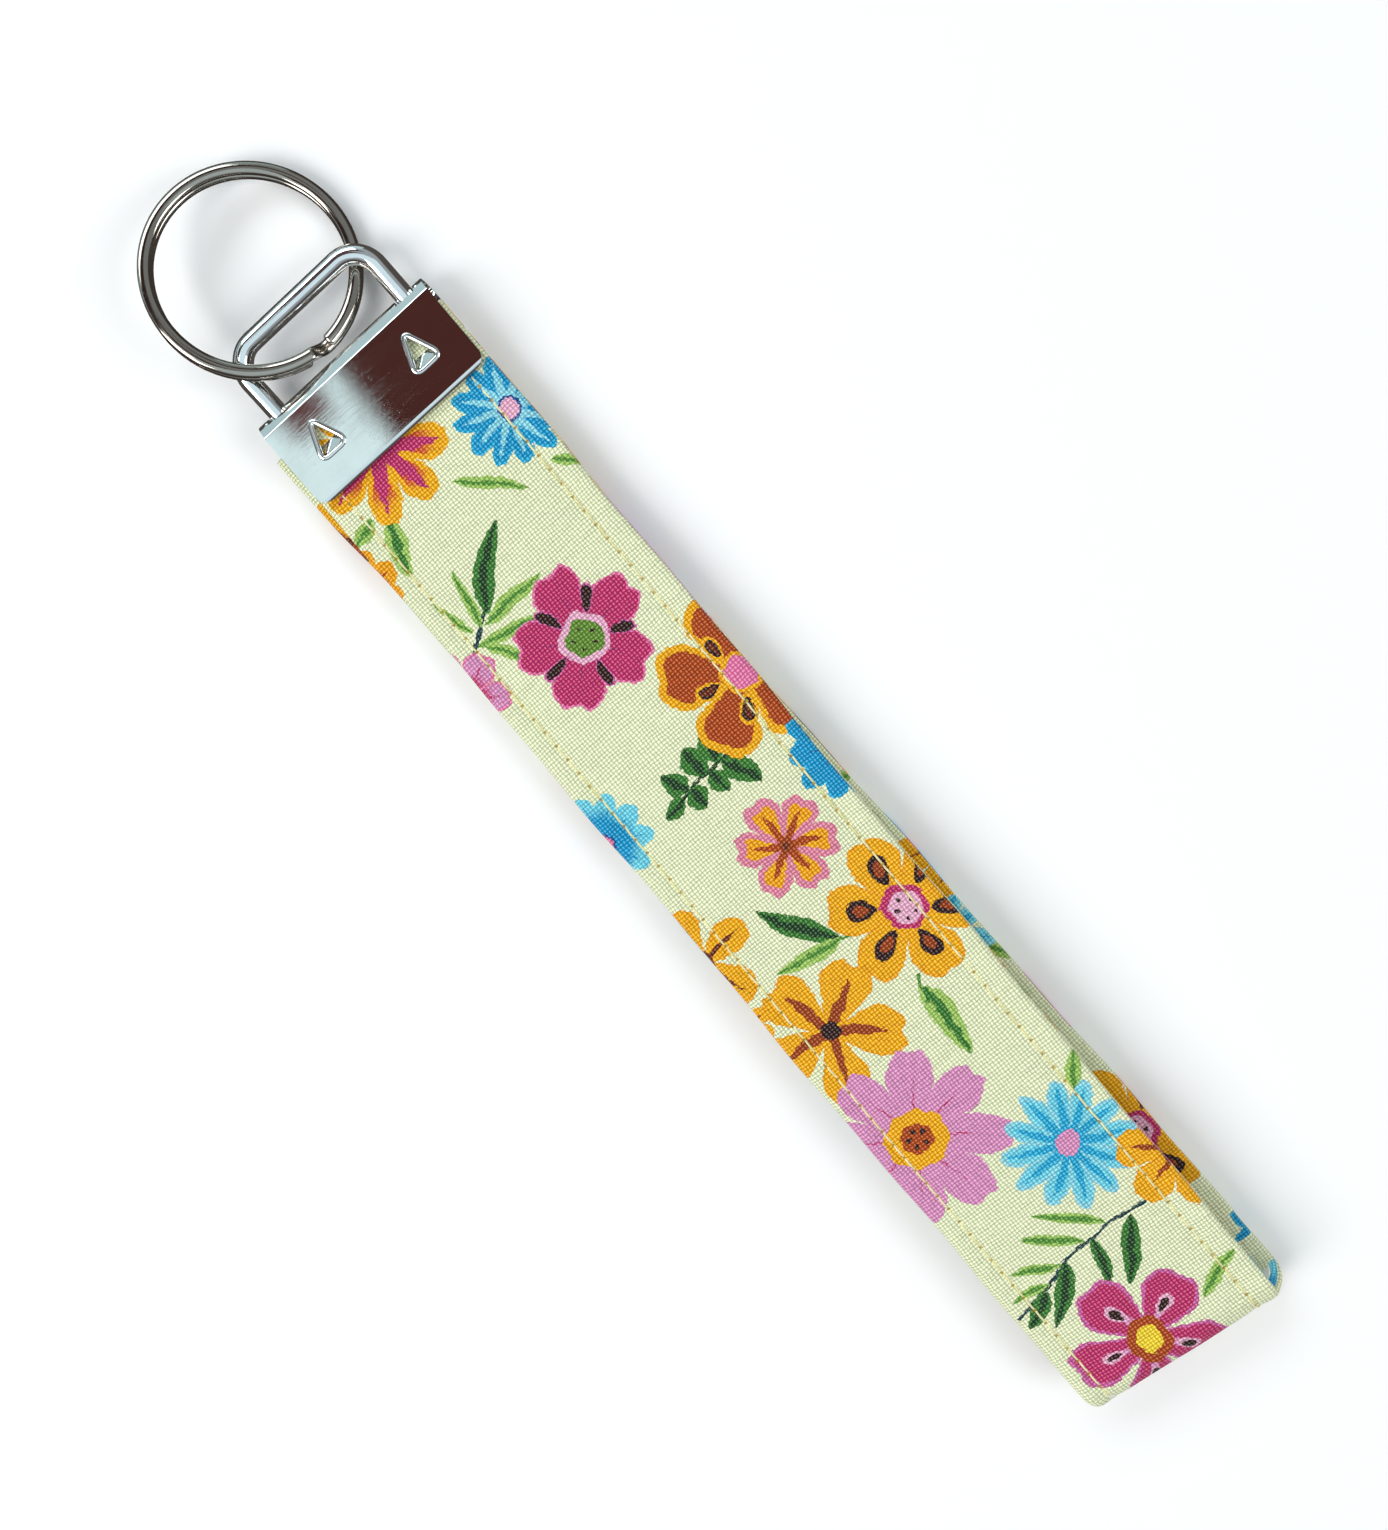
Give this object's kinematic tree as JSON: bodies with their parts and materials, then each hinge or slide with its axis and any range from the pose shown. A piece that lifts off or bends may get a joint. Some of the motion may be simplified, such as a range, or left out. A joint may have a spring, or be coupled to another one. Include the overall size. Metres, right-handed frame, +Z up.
{
  "type": "wristlet keychain",
  "caption": "Looped floral fabric wrist strap crimped in a folded metal clamp, with a wire loop that pivots in the clamp's fold and a split key ring.",
  "frame": {"origin": "bottom centre of the whole object's box, as it lies flat on a table", "axes": "+Y along the strap from the loop end towards the key ring, +Z up from the table, +X across the strap"},
  "size_m": [0.0294, 0.1796, 0.0085],
  "materials": {
    "clamp_plate": "bright nickel plate, fine scratches",
    "loop_wire": "bright nickel plate",
    "ring_wire": "bright nickel plate over spring steel",
    "printed_cotton": null,
    "interfacing": "white non-woven",
    "sewing_thread": "pale yellow spun polyester thread"
  },
  "bodies": {
    "strap": {"clamp": "clamp_plate", "fabric_strip": "printed_cotton", "interfacing_core": "interfacing", "needle_thread_left": "sewing_thread", "needle_thread_right": "sewing_thread", "bobbin_thread_left": "sewing_thread", "bobbin_thread_right": "sewing_thread"},
    "loop": {"wire_loop": "loop_wire"},
    "ring": {"split_ring": "ring_wire"}
  },
  "joints": [
    {"name": "loop_swing", "type": "hinge", "parent": "strap", "child": "loop", "pos_m": [-0.00031, 0.06227, 0.0028], "axis": [1, 0, 0], "range_deg": [-34, 15]},
    {"name": "ring_swing", "type": "hinge", "parent": "loop", "child": "ring", "pos_m": [0.00003, 0.06984, 0.00386], "axis": [0.9384, 0.2335, -0.2549], "range_deg": [-10, 85]}
  ]
}
